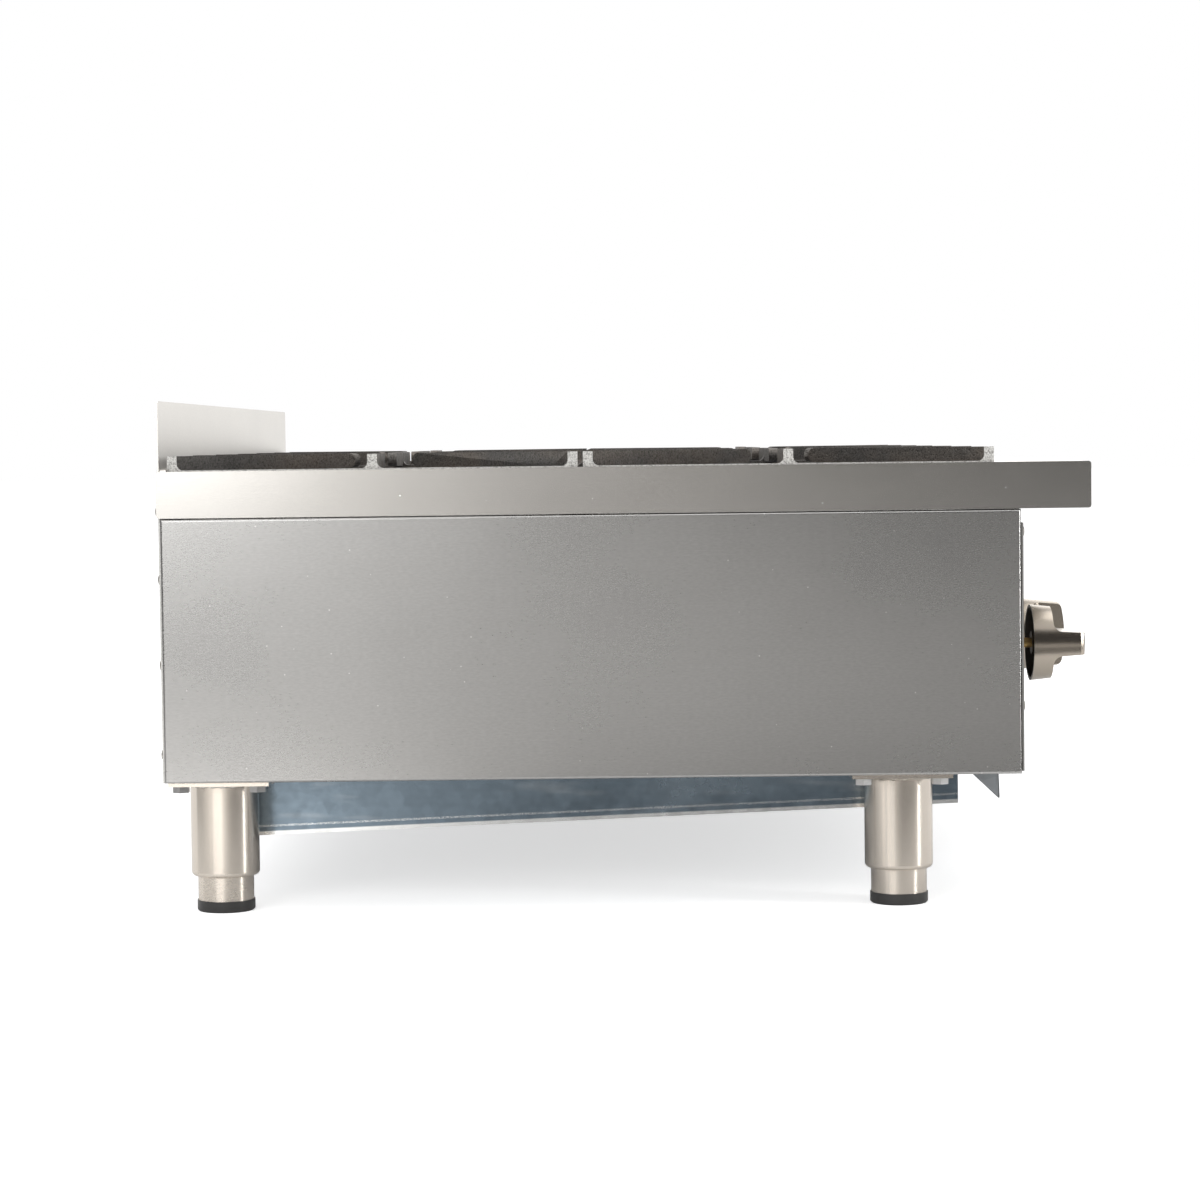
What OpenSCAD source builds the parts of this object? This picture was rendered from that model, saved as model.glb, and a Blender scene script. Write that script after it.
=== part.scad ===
// Countertop gas hotplate: six open burners in two rows of three, under cast grates, on four
// adjustable legs. Millimetres. Front at -Y, right at +X, up at +Z, origin on the floor under
// the middle of the whole outline.

/* [Body] */
// Width over the sides of the top frame
body_w = 914; // [840:2:1000]
// Depth of the top frame, from the front of the ledge to the rear
top_d = 700; // [690:1:730]
// Height of the side panels
panel_h = 199; // [185:1:240]
// Height of the top frame's skirt
rail_h = 35; // [32:1:45]
// How far the front ledge stands out past the control panel
ledge_overhang = 51; // [44:1:60]
// Height of the backsplash above the top frame
splash_h = 53; // [30:1:90]
// Thickness of the stainless sheet
sheet = 1.2; // [1:0.1:1.6]
// Thickness of the control panel
front_sheet = 1.5; // [1:0.1:2]
// Outside radius of the folds
fold_r = 2.2; // [1.8:0.1:3]
// Width of the folded flanges round a panel
flange_w = 22; // [18:1:26]
// Shadow gap between the side panels and the top frame
seat_gap = 0.4; // [0.3:0.1:1]
// How far the control panel stops short of the side panels' top
front_gap = 8; // [6:0.5:12]

/* [Top frame] */
// Width of the rim beside the grates
rim_w = 5; // [4.5:0.1:6]
// Depth of the ledge in front of the grates
front_strip = 72; // [68:1:80]
// Width of the strip behind the grates
rear_strip = 8; // [7:0.5:10]
// Depth of the well that the grates sit in
well_h = 16; // [14:0.5:20]
// Width of the flange that carries the grates
seat_w = 12; // [10:0.5:16]
// Width of the return lip at the bottom of the skirt
lip_w = 12; // [8:1:16]
// Width of the middle bar that carries the grates
bar_w = 26; // [20:1:34]

/* [Backsplash] */
// Height of the folded hem behind the top edge
hem_h = 12; // [8:1:16]
// Corner radius of the backsplash
splash_r = 3.2; // [2:0.2:6]
// Depth of the backsplash's foot
splash_foot = 5; // [3:0.5:6]

/* [Grates] */
// Gap between two rows of grates
row_gap = 4; // [2:0.5:6]
// Gap between two grates side by side
grate_gap = 2; // [1.5:0.5:4]
// Clearance round the grates in the well
grate_fit = 1; // [0.6:0.1:1.5]
// Height of the grates above the top frame
grate_rise = 11.6; // [9:0.2:16]
// Width of the frame round a grate
ring_w = 11; // [9:0.5:14]
// Height of the frame round a grate
ring_h = 16.6; // [12:0.2:18]
// Thickness of a finger
finger_t = 7.4; // [6:0.2:9]
// Height of a finger away from its post
finger_h = 11; // [9:0.5:13]
// Width of the posts at the ends of the fingers
post_w = 9; // [7:0.5:11]
// Radius of the fillets under the fingers
finger_fillet = 8; // [5:0.5:10]
// Radius of the fillets beside the posts' feet
foot_fillet = 4.6; // [2:0.2:7]
// Distance from a grate's middle to the straight fingers' tips
mid_tip = 64; // [54:1:80]
// Distance from a grate's middle to the diagonal fingers' tips
diagonal_tip = 35; // [30:1:45]

/* [Burners] */
// How far a burner head stands out past its bowl
head_lip = 3; // [2:0.5:4]
// Height of a burner head
head_h = 13; // [11:0.5:16]
// Depth of the spigot that centres a head in its bowl
spigot_h = 6; // [4:0.5:8]
// Number of flame ports
ports = 24; // [12:2:30]
// Width of a flame port
port_w = 2.4; // [1.6:0.2:3]
// Height of a flame port
port_h = 4; // [3:0.5:5]
// Radius of the hole in the middle of a head
head_hole_r = 9; // [6:1:14]
// Outer radius of a burner bowl
bowl_r = 47; // [42:1:50]
// Height of a burner bowl
bowl_h = 24; // [20:1:30]
// Wall of the burner castings
cast_t = 4; // [3:0.5:5]
// Outer radius of a mixing tube
tube_r = 15; // [13:0.5:16]
// Wall of a mixing tube
tube_t = 3; // [2.5:0.5:4]
// How far the elbow of a mixing tube swells past the tube
elbow_swell = 3; // [2:0.5:4]
// How far the bell at its mouth flares past the tube
bell_flare = 4; // [3:0.5:5]
// Length of the bell
bell_l = 14; // [10:1:18]
// Gap between a bowl and the rails under its lugs
rail_gap = 3; // [2:0.5:5]
// Width of a lug
lug_w = 16; // [12:1:20]
// Thickness of a lug
lug_t = 5; // [4:0.5:6]
// Length of the legs of the burner rails' angle
angle_w = 20; // [16:1:24]
// Thickness of the burner rails
angle_t = 2; // [1.5:0.5:3]

/* [Controls] */
// Height of the knobs' axis above the underside of the body
knob_z = 92.3; // [85:0.1:100]
// Distance between the two knobs of one column
knob_pair = 110; // [104:1:116]
// Distance from the control panel to the knobs' rims
rim_gap = 17.6; // [12:0.2:20]
// Distance from the control panel to the front of the knobs' skirts
skirt_front = 33.2; // [31:0.2:36]
// Distance from the control panel to the ends of the grips
grip_front = 56.6; // [50:0.2:60]
// How far the middle of a knob bulges past the ends of its grip
knob_dome = 3.2; // [2:0.2:5]
// Radius of a knob at its rim
rim_r = 29.6; // [28:0.2:31]
// Radius of a knob at the ends of its grip
grip_r = 25.7; // [24:0.1:27]
// Thickness of a grip at its end
grip_t = 17; // [14:0.5:20]
// Thickness of a grip above its fillets
grip_base_t = 19; // [18:0.5:22]
// Rounding at the ends of a grip
grip_edge = 2.4; // [1.6:0.2:3]
// Radius of the fillets beside a grip
grip_fillet = 7; // [4:0.5:8]
// Wall of a knob's skirt
skirt_t = 2.4; // [2:0.2:3]
// Thickness of a knob between its hollow back and its skirt's front
knob_floor = 3.6; // [3:0.2:6]
// Radius of a knob's hub
hub_r = 9; // [7.5:0.5:11]
// Radius of a valve stem
stem_r = 4; // [3:0.5:5]
// Depth of the flat on a valve stem
stem_flat = 1; // [0.6:0.1:1.4]
// Radius of the stem holes in the control panel
stem_hole_r = 6.5; // [6:0.5:8]

/* [Gas line] */
// Outer radius of the manifold and the supply pipe
pipe_r = 13.35; // [10.7:0.05:14]
// Wall of the pipes
pipe_t = 2.85; // [2:0.05:3.5]
// Height of the valves' axis above the manifold's
manifold_drop = 32; // [30:1:36]
// How far the manifold runs on past its last pilot tube
manifold_end = 5; // [4:0.5:8]
// Bend radius of the supply pipe
supply_bend = 25; // [22:1:28]
// Outer radius of the inlet coupling
coupling_r = 17.5; // [16:0.5:19]
// Length of the inlet coupling
coupling_l = 34; // [28:1:40]
// Wall radius of the inlet's tapped hole
inlet_r = 12.1; // [11:0.1:13]
// Depth of the inlet's tapped hole
inlet_l = 20; // [16:1:24]
// Radius of the pilot tubes
pilot_r = 3; // [2.5:0.25:3.5]
// Distance from the control panel's flanges to the heat shield
shield_gap = 7.6; // [6:0.2:8]

/* [Legs] */
// Height of the body's underside above the floor
leg_h = 101.6; // [96:0.2:120]
// Radius of a leg tube
leg_r = 26; // [25:0.5:28]
// Wall of a leg tube
leg_t = 1.5; // [1.2:0.1:2]
// Distance from a side panel's face to a leg's mounting plate
plate_inset = 4; // [3:0.5:8]
// Distance from the control panel's face to the front legs' axis
leg_front = 91.2; // [80:0.2:110]
// Distance from the top frame's rear to the rear mounting plates
plate_rear = 4.3; // [4:0.1:20]
// Side of a leg's mounting plate
plate_w = 76; // [72:1:76]
// Thickness of a leg's mounting plate
plate_t = 3; // [2.5:0.5:4]
// Distance from a mounting plate's edges to its bolts
bolt_edge = 9; // [9:0.5:12]
// Height of the leg tube's lower end above the floor
shoulder_z = 27; // [25:0.5:32]
// Radius of the rounded lower end of a leg tube
shoulder_r = 3.5; // [2:0.5:4]
// Gap between a foot's sleeve and its leg tube
sleeve_gap = 3.2; // [2.4:0.1:4]
// Length of a foot's sleeve above its cap
sleeve_l = 54; // [46:1:58]
// How far a foot's cap stands out past its sleeve
cap_t = 0.8; // [0.6:0.1:2]
// Height of a foot's cap
cap_h = 8.5; // [6:0.5:10]

/* [Drip tray] */
// Gap between the mounting plates and the tray's guides
guide_gap = 12; // [8:1:16]
// Distance from the control panel and the rear to the guides' ends
guide_end = 40; // [36:1:46]
// How far the guides hang below the body at the front
guide_front = 32; // [30:1:34]
// How far the guides hang below the body at the rear
guide_rear = 52; // [46:1:56]
// Width of the guides' ledge under the tray
guide_ledge = 16; // [12:1:20]
// Height of the tray's walls
tray_h = 18; // [12:1:20]
// Distance from the control panel's face to the tray's front
tray_inset = 7; // [5:0.5:10]
// Thickness of the tray's hemmed front
tray_hem = 2.6; // [2.4:0.1:3]
// How much the guides' drop at the front exceeds the height of the tray's front
tray_clear = 7; // [6:0.5:12]
// Side clearance of the tray in its guides
tray_fit = 2; // [1:0.5:3]

/* [Fasteners] */
// Radius of a panel screw's head
screw_head_r = 4; // [3:0.5:5]
// Height of a panel screw's head
screw_head_h = 2.2; // [1.5:0.1:2.5]
// Radius of a panel screw's shank
screw_r = 2; // [1.5:0.1:2.4]
// Length of a panel screw's shank
screw_l = 9; // [7:0.5:10]
// Distance from a side panel's face to its panel screws
screw_inset = 12; // [11:0.5:15]
// Height of the screws through the top frame's rear, above its lower edge
rail_screw_z = 5; // [4.6:0.1:6]
// Radius of a leg bolt
bolt_r = 4; // [3:0.5:4.5]
// Height of a leg bolt's head and nut
bolt_head_h = 5; // [4:0.5:6]

/* [Hidden] */
$fn = 48;
// Clearance round screws and bolts, and between fixed sheets that meet
hole_fit = 0.2;
// Clearance between a moving piece and what it rests on
rest_gap = 0.3;
// Running clearance round a valve stem
stem_fit = 0.05;
// Overrun of a cut
cut = 2;

ROWS = ["front", "rear"];
COLUMNS = ["left", "middle", "right"];
SIDES = ["left", "right"];
// Heights of the control panel's screws, as shares of the side panels' height
front_screw_shares = [0.255, 0.915];
// Heights of the back panel's screws, as shares of the side panels' height
rear_screw_shares = [0.105, 0.445, 0.77];
// Places of the screws through the top frame's rear, as shares of half the width
rail_screw_share = 0.36;

half_w = body_w / 2;
z_base = leg_h;
z_panel = z_base + panel_h;
z_rail = z_panel + seat_gap;
z_top = z_rail + rail_h;
z_knob = z_base + knob_z;
knob_reach = grip_front + knob_dome;
y_back = (top_d - ledge_overhang + knob_reach - screw_head_h) / 2;
y_ledge = y_back - top_d;
y_face = y_ledge + ledge_overhang;
y_skin = y_back - sheet;
y_side_front = y_face + front_sheet;
y_side_rear = y_skin - sheet;
z_front_top = z_panel - front_gap;
x_inside = half_w - sheet - hole_fit;
screw_x = half_w - screw_inset;

open_x = half_w - rim_w;
grate_w = (2 * open_x - 2 * grate_fit - 2 * grate_gap) / 3;
grate_d = (top_d - front_strip - rear_strip - row_gap) / 2;
y_grate_rear = y_back - rear_strip;
y_grate_front = y_grate_rear - 2 * grate_d - row_gap;
open_y0 = y_grate_front - grate_fit;
open_y1 = y_grate_rear + grate_fit;
z_seat = z_top - well_h;
z_grate = z_seat + rest_gap;
z_grate_top = z_top + grate_rise;

z_head_top = z_seat - rest_gap - sheet;
z_rim = z_head_top - head_h;
z_bowl = z_rim - rest_gap - bowl_h;
z_lug = z_bowl + cast_t;
head_r = bowl_r + head_lip;
elbow_r = tube_r + elbow_swell;
bell_r = tube_r + bell_flare;
lug_reach = bowl_r + rail_gap + angle_w;
tube_tilt = atan2(knob_pair / 2, z_bowl - z_knob);
tube_run = norm([knob_pair / 2, z_bowl - z_knob]);
rail_dy = lug_reach - angle_w / 2;

y_bonnet = y_face + 8 * sheet;
bonnet_l = 3 * stem_r;
valve_r = 3 * stem_r;
valve_l = 6 * stem_r;
hood_r = 2 * stem_r;
y_valve = y_bonnet + bonnet_l + valve_l / 2;
y_hood = y_valve + valve_l / 2 + hood_r;
hood_l = 3 * stem_r;
y_mouth = y_hood + hood_l / 2;
z_manifold = z_knob - manifold_drop;
spigot_r = 2 * stem_r;
pilot_x = knob_pair / 2 + bell_r;
z_pilot = z_knob + bell_r + 2 * pilot_r;
supply_x = grate_w + grate_gap + pilot_x + manifold_end + supply_bend;

leg_x = half_w - plate_inset - plate_w / 2;
leg_y = [y_face + leg_front, y_back - plate_rear - plate_w / 2];
plate_pitch = plate_w - 2 * bolt_edge;
sleeve_r = leg_r - leg_t - sleeve_gap;
cap_r = sleeve_r + cap_t;
z_frame = z_base + sheet + hole_fit;
frame_x = half_w - fold_r - hole_fit;
frame_h = rear_screw_shares[0] * panel_h - 3 * screw_r;
frame_t = 2 * sheet - 2 * hole_fit;
guide_x = leg_x - plate_w / 2 - guide_gap;
guide_y0 = y_face + guide_end;
guide_y1 = y_back - guide_end;
guide_tilt = atan2(guide_rear - guide_front, guide_y1 - guide_y0);
tray_y = y_face + tray_inset;
tray_front_h = guide_front - tray_clear;
tray_z = z_base - guide_front + (guide_y0 - tray_y) * tan(guide_tilt) + sheet / cos(guide_tilt) + rest_gap;
tray_w = 2 * (guide_x - sheet - tray_fit);
tray_l = guide_y1 - tray_y;
nut_r = 1.7 * bolt_r;
cap_floor = 0.4 * cap_h;
knob_hollow = skirt_front - rim_gap - knob_floor;
stem_end = rim_gap + knob_hollow + 2 * stem_r;
flat_start = rim_gap + sheet - hole_fit;

function column_x(c) = (c - 1) * (grate_w + grate_gap);
function row_y(r) = y_grate_front + grate_d / 2 + r * (grate_d + row_gap);
function burner_side(r) = 2 * r - 1;
function knob_x(c, r) = column_x(c) + burner_side(r) * knob_pair / 2;
function at(r, c) = str(ROWS[r], "_", COLUMNS[c]);
function arc(x, y, r, from, to, steps) =
    [for (i = [0:steps]) let (a = from + (to - from) * i / steps) [x + r * cos(a), y + r * sin(a)]];

PLACES = [for (r = [0, 1], c = [0, 1, 2]) at(r, c)];
LEG_PLACES = [for (r = [0, 1], s = [0, 1]) str(ROWS[r], "_", SIDES[s])];

// A box between two corners
module block(low, high) {
    translate(low) cube(high - low);
}

// A rectangle whose corners at x = 0 are rounded
module soft_edge(w, h, r) {
    translate([r, 0]) square([w - r, h]);
    translate([0, r]) square([w, h - 2 * r]);
    for (y = [r, h - r]) translate([r, y]) circle(r);
}

// A rectangle with four rounded corners
module soft_rect(w, h, r) {
    translate([r, 0]) square([w - 2 * r, h]);
    translate([0, r]) square([w, h - 2 * r]);
    for (x = [r, w - r], y = [r, h - r]) translate([x, y]) circle(r);
}

// A block whose face at x = 0 has four rounded edges
module soft_slab(d, l, h, r) {
    intersection() {
        translate([0, l, 0]) rotate([90, 0, 0]) linear_extrude(l) soft_edge(d, h, r);
        linear_extrude(h) soft_edge(d, l, r);
    }
}

// An outline drawn in Y and Z, extruded along X between two places
module along_x(x0, x1) {
    translate([x0, 0, 0]) rotate([90, 0, 90]) linear_extrude(x1 - x0) children();
}

// A round rod along Y between two places
module rod_y(x, y0, y1, z, r) {
    translate([x, y0, z]) rotate([-90, 0, 0]) cylinder(r = r, h = y1 - y0);
}

// A round rod along X between two places
module rod_x(x0, x1, y, z, r) {
    translate([x0, y, z]) rotate([0, 90, 0]) cylinder(r = r, h = x1 - x0);
}

// A round rod along Z between two places
module rod_z(x, y, z0, z1, r) {
    translate([x, y, z0]) cylinder(r = r, h = z1 - z0);
}

// The places of the leg bolts of one leg
module at_leg_bolts(r, side) {
    for (dx = [-1, 1], dy = [-1, 1])
        translate([side * leg_x + dx * plate_pitch / 2, leg_y[r] + dy * plate_pitch / 2, 0])
            children();
}

module bolt_holes(z0, z1) {
    for (r = [0, 1], side = [-1, 1])
        at_leg_bolts(r, side) rod_z(0, 0, z0, z1, bolt_r + hole_fit);
}

module panel_screw_holes() {
    for (side = [-1, 1]) {
        for (share = front_screw_shares)
            rod_y(side * screw_x, y_face - cut, y_face + flange_w, z_base + share * panel_h, screw_r + hole_fit);
        for (share = rear_screw_shares)
            rod_y(side * screw_x, y_back - flange_w, y_back + cut, z_base + share * panel_h, screw_r + hole_fit);
        for (x = [rail_screw_share * half_w, screw_x])
            rod_y(side * x, y_back - flange_w, y_back + cut, z_rail + rail_screw_z, screw_r + hole_fit);
    }
}

// Side panels: folded pans with a flange on all four sides
module side_panel(side) {
    l = y_side_rear - y_side_front;
    color("lightgray") difference() {
        mirror([side > 0 ? 1 : 0, 0, 0]) translate([-half_w, y_side_front, z_base]) difference() {
            soft_slab(flange_w, l, panel_h, fold_r);
            translate([sheet, sheet, sheet])
                soft_slab(flange_w, l - 2 * sheet, panel_h - 2 * sheet, fold_r - sheet);
        }
        panel_screw_holes();
        bolt_holes(z_base - cut, z_base + cut);
    }
}

// Back panel: a flat sheet over the side panels' rear flanges, up inside the top frame
module back_panel() {
    wide = half_w - fold_r;
    narrow = half_w - sheet - 2 * hole_fit;
    color("silver") difference() {
        union() {
            block([-wide, y_skin - sheet, z_base], [wide, y_skin, z_panel]);
            block([-narrow, y_skin - sheet, z_panel - cut], [narrow, y_skin, z_rail + rail_screw_z + flange_w / 3]);
        }
        panel_screw_holes();
        rod_y(supply_x, y_skin - cut, y_back, z_manifold, coupling_r + 5 * hole_fit);
    }
}

// Control panel: the face with its top and bottom folds
module control_panel() {
    fold_x = half_w - flange_w - sheet;
    color("gainsboro") difference() {
        union() {
            block([-half_w, y_face, z_base + fold_r], [half_w, y_side_front, z_front_top - fold_r]);
            along_x(-fold_x, fold_x) difference() {
                translate([y_face, z_base]) soft_edge(flange_w, z_front_top - z_base, fold_r);
                translate([y_side_front, z_base + front_sheet])
                    square([flange_w, z_front_top - z_base - 2 * front_sheet]);
            }
        }
        for (c = [0, 1, 2], r = [0, 1])
            rod_y(knob_x(c, r), y_face - cut, y_side_front + cut, z_knob, stem_hole_r);
        panel_screw_holes();
    }
}

// Top frame: skirts, front ledge, the well that the grates hang in and its middle bar
module top_frame() {
    wall_x = open_x + sheet;
    color("whitesmoke") {
        difference() {
            union() {
                difference() {
                    along_x(-half_w, half_w) translate([y_ledge, z_rail]) soft_rect(top_d, rail_h, fold_r);
                    block([-half_w + sheet, y_ledge + sheet, z_rail + sheet], [half_w - sheet, y_skin, z_top - sheet]);
                    block([-half_w + lip_w, y_ledge + lip_w, z_rail - cut], [half_w - lip_w, y_skin, z_rail + 2 * sheet]);
                    block([-x_inside, y_skin - 2 * sheet, z_rail - cut], [x_inside, y_skin, z_rail + 2 * sheet]);
                }
                block([-wall_x, open_y0 - sheet, z_seat - sheet], [wall_x, open_y1 + sheet, z_top - sheet / 2]);
            }
            block([-open_x, open_y0, z_seat], [open_x, open_y1, z_top + cut]);
            block([-open_x + seat_w, open_y0 + seat_w, z_seat - cut], [open_x - seat_w, open_y1 - seat_w, z_top]);
            panel_screw_holes();
        }
        grate_bar();
    }
}

// The bar between the two rows of grates, a downward channel welded to the side flanges
module grate_bar() {
    y = row_y(0) + (grate_d + row_gap) / 2;
    end = open_x - seat_w / 2;
    difference() {
        block([-end, y - bar_w / 2, z_rail], [end, y + bar_w / 2, z_seat]);
        block([-end - cut, y - bar_w / 2 + sheet, z_rail - cut], [end + cut, y + bar_w / 2 - sheet, z_seat - sheet]);
    }
}

// Backsplash: a plate with a foot at the bottom and a hem behind its top edge
module backsplash() {
    y_front = y_back - 2 * sheet - hole_fit;
    color("linen") {
        translate([-half_w, y_front + sheet, z_top]) rotate([90, 0, 0]) linear_extrude(sheet) union() {
            square([body_w, splash_h - splash_r]);
            translate([splash_r, 0]) square([body_w - 2 * splash_r, splash_h]);
            for (x = [splash_r, body_w - splash_r]) translate([x, splash_h - splash_r]) circle(splash_r);
        }
        block([-half_w + fold_r, y_front - splash_foot, z_top], [half_w - fold_r, y_front + sheet / 2, z_top + sheet]);
        block([-half_w + splash_r, y_front + sheet / 2, z_top + splash_h - sheet],
              [half_w - splash_r, y_back, z_top + splash_h]);
        block([-half_w + splash_r, y_back - sheet, z_top + splash_h - hem_h],
              [half_w - splash_r, y_back, z_top + splash_h]);
    }
}

// Base frame: an upward channel, wide across the legs and narrow along the sides
module base_frame() {
    y0 = leg_y[0] - plate_w / 2;
    y1 = leg_y[1] + plate_w / 2;
    runner = plate_w / 2;
    color("darkgray") difference() {
        block([-frame_x, y0, z_frame], [frame_x, y1, z_frame + frame_h]);
        block([-frame_x + runner, y0 + plate_w, z_frame - cut], [frame_x - runner, y1 - plate_w, z_frame + frame_h + cut]);
        difference() {
            block([-frame_x + frame_t, y0 + frame_t, z_frame + frame_t],
                  [frame_x - frame_t, y1 - frame_t, z_frame + frame_h + cut]);
            block([-frame_x + runner - frame_t, y0 + plate_w - frame_t, z_frame],
                  [frame_x - runner + frame_t, y1 - plate_w + frame_t, z_frame + frame_h + cut]);
        }
        bolt_holes(z_frame - cut, z_frame + frame_t + cut);
    }
}

// Burner rails: two steel angles under each row of burners
module burner_rails() {
    color("slategray") for (r = [0, 1], s = [-1, 1]) {
        y = row_y(r) + s * rail_dy;
        block([-x_inside, y - angle_w / 2, z_lug - angle_t], [x_inside, y + angle_w / 2, z_lug]);
        block([-x_inside, y - angle_t / 2, z_lug - angle_w], [x_inside, y + angle_t / 2, z_lug - angle_t / 2]);
    }
}

// Heat shield: a bent sheet between the burners and the valves
module heat_shield() {
    y0 = y_face + flange_w + shield_gap;
    y1 = y_hood + hood_l + cast_t;
    z_low = z_pilot + 3 * pilot_r;
    z_mid = z_low + 4 * pilot_r;
    narrow = half_w - flange_w - hole_fit;
    color("silver") difference() {
        along_x(-x_inside, x_inside) polygon([
            [y0, z_mid], [y1 - sheet, z_mid], [y1 - sheet, z_low], [y1, z_low],
            [y1, z_mid + sheet], [y0 + sheet, z_mid + sheet], [y0 + sheet, z_seat - sheet - hole_fit],
            [y0, z_seat - sheet - hole_fit]
        ]);
        for (side = [0, 1]) mirror([side, 0, 0])
            block([narrow, y0 - cut, z_panel - sheet - hole_fit], [half_w, y0 + cut, z_seat]);
    }
}

// Manifold: a pipe along the front, capped at the left, with a hole under each valve
module manifold() {
    x0 = column_x(0) - pilot_x - 2 * pipe_r;
    x1 = supply_x - supply_bend - hole_fit;
    color("dimgray") difference() {
        union() {
            rod_x(x0, x1, y_valve, z_manifold, pipe_r);
            rod_x(x0 - pipe_t, x0 + pipe_r, y_valve, z_manifold, pipe_r + pipe_t);
        }
        rod_x(x0, x1 + cut, y_valve, z_manifold, pipe_r - pipe_t);
        for (c = [0, 1, 2], r = [0, 1])
            rod_z(knob_x(c, r), y_valve, z_manifold, z_manifold + pipe_r + cut, spigot_r + hole_fit / 2);
        for (c = [0, 1, 2], s = [-1, 1])
            rod_y(column_x(c) + s * pilot_x, y_valve, y_valve + pipe_r + cut, z_manifold, pilot_r + hole_fit / 2);
    }
}

// Supply pipe: elbow at the manifold, run to the rear and a tapped coupling in the back panel
module supply_pipe() {
    y_elbow = y_valve + supply_bend;
    y_coupling = y_skin - coupling_l;
    color("dimgray") difference() {
        union() {
            translate([supply_x - supply_bend, y_elbow, z_manifold])
                rotate([0, 0, -90]) rotate_extrude(angle = 90) translate([supply_bend, 0]) circle(pipe_r);
            rod_y(supply_x, y_elbow, y_coupling + cut, z_manifold, pipe_r);
            rod_y(supply_x, y_coupling, y_skin, z_manifold, coupling_r);
            rod_y(supply_x, y_skin - 4 * sheet, y_skin - sheet - hole_fit, z_manifold, coupling_r + 3 * sheet);
        }
        translate([supply_x - supply_bend, y_elbow, z_manifold])
            rotate([0, 0, -90]) rotate_extrude(angle = 90) translate([supply_bend, 0]) circle(pipe_r - pipe_t);
        rod_y(supply_x, y_elbow, y_skin + cut, z_manifold, pipe_r - pipe_t);
        rod_y(supply_x, y_skin - inlet_l, y_skin + cut, z_manifold, inlet_r);
    }
}

// Gas valves: body, bonnet, orifice hood and the spigot into the manifold
module gas_valve(x) {
    difference() {
        union() {
            rod_y(x, y_bonnet, y_valve, z_knob, 0.75 * valve_r);
            rod_y(x, y_bonnet + bonnet_l, y_valve + valve_l / 2, z_knob, valve_r);
            rod_y(x, y_valve, y_hood + hood_l / 2, z_knob, 0.7 * hood_r);
            translate([x, y_hood, z_knob]) rotate([-90, 0, 0]) cylinder(r = hood_r, h = hood_l, $fn = 6);
            rod_z(x, y_valve, z_manifold + pipe_r - pipe_t + hole_fit, z_knob, spigot_r);
        }
        rod_y(x, y_bonnet - cut, y_valve + valve_l / 4, z_knob, stem_r + stem_fit);
    }
}

module gas_valves() {
    color("gold") for (c = [0, 1, 2], r = [0, 1]) gas_valve(knob_x(c, r));
}

// Pilot lines: a tube from the manifold's rear, along beside the mixing tubes and up to each head
module pilot_line(x, y, toward) {
    y0 = y_valve + pipe_r - pipe_t / 2;
    y_rise = y_hood;
    z_tip = z_rim + head_h / 2;
    x_tip = x + toward * (pilot_x - head_r - 3 * pilot_r);
    fitting = 1.5 * pilot_r;
    rod_y(x, y0, y_rise, z_manifold, pilot_r);
    rod_z(x, y_rise, z_manifold, z_pilot, pilot_r);
    rod_y(x, y_rise, y, z_pilot, pilot_r);
    rod_z(x, y, z_pilot, z_tip, pilot_r);
    rod_x(min(x, x_tip), max(x, x_tip), y, z_tip, pilot_r);
    for (p = [[y_rise, z_manifold], [y_rise, z_pilot], [y, z_pilot], [y, z_tip]])
        rod_z(x, p[0], p[1] - fitting, p[1] + fitting, fitting);
}

module pilot_lines() {
    color("lightgray") for (c = [0, 1, 2], r = [0, 1])
        pilot_line(column_x(c) - burner_side(r) * pilot_x, row_y(r), burner_side(r));
}

// Tray guides: a flange under the base frame, a web and a sloping ledge for the tray
module tray_guide(side) {
    z0 = z_base - guide_front;
    z1 = z_base - guide_rear;
    t = sheet / cos(guide_tilt);
    outer = half_w - flange_w - hole_fit;
    color("slategray") mirror([side > 0 ? 1 : 0, 0, 0]) difference() {
        union() {
            along_x(-guide_x, -guide_x + sheet)
                polygon([[guide_y0, z_base + sheet], [guide_y0, z0], [guide_y1, z1], [guide_y1, z_base + sheet]]);
            along_x(-guide_x, -guide_x + guide_ledge)
                polygon([[guide_y0, z0 + t], [guide_y0, z0], [guide_y1, z1], [guide_y1, z1 + t]]);
            block([-outer, guide_y0, z_base], [-guide_x + sheet / 2, guide_y1, z_base + sheet]);
        }
        bolt_holes(z_base - cut, z_base + cut);
    }
}

// Drip tray: a pan with a hemmed front, laid parallel to its guides
module drip_tray() {
    color("silver") translate([0, tray_y, tray_z]) rotate([-guide_tilt, 0, 0]) difference() {
        union() {
            block([-tray_w / 2, 0, 0], [tray_w / 2, tray_l, tray_h]);
            block([-tray_w / 2, 0, 0], [tray_w / 2, tray_hem, tray_front_h]);
        }
        block([-tray_w / 2 + sheet, tray_hem, sheet], [tray_w / 2 - sheet, tray_l - sheet, tray_h + cut]);
    }
}

// Panel screws: pan heads on the control panel, the back panel and the top frame's rear
module screw(x, y, z, out) {
    head = out * screw_head_h;
    rod_y(x, min(y, y + head), max(y, y + head), z, screw_head_r);
    rod_y(x, min(y, y - out * screw_l), max(y, y - out * screw_l), z, screw_r);
}

module panel_screws() {
    color("silver") for (side = [-1, 1]) {
        for (share = front_screw_shares) screw(side * screw_x, y_face, z_base + share * panel_h, -1);
        for (share = rear_screw_shares) screw(side * screw_x, y_skin, z_base + share * panel_h, 1);
        for (x = [rail_screw_share * half_w, screw_x]) screw(side * x, y_back, z_rail + rail_screw_z, 1);
    }
}

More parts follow.
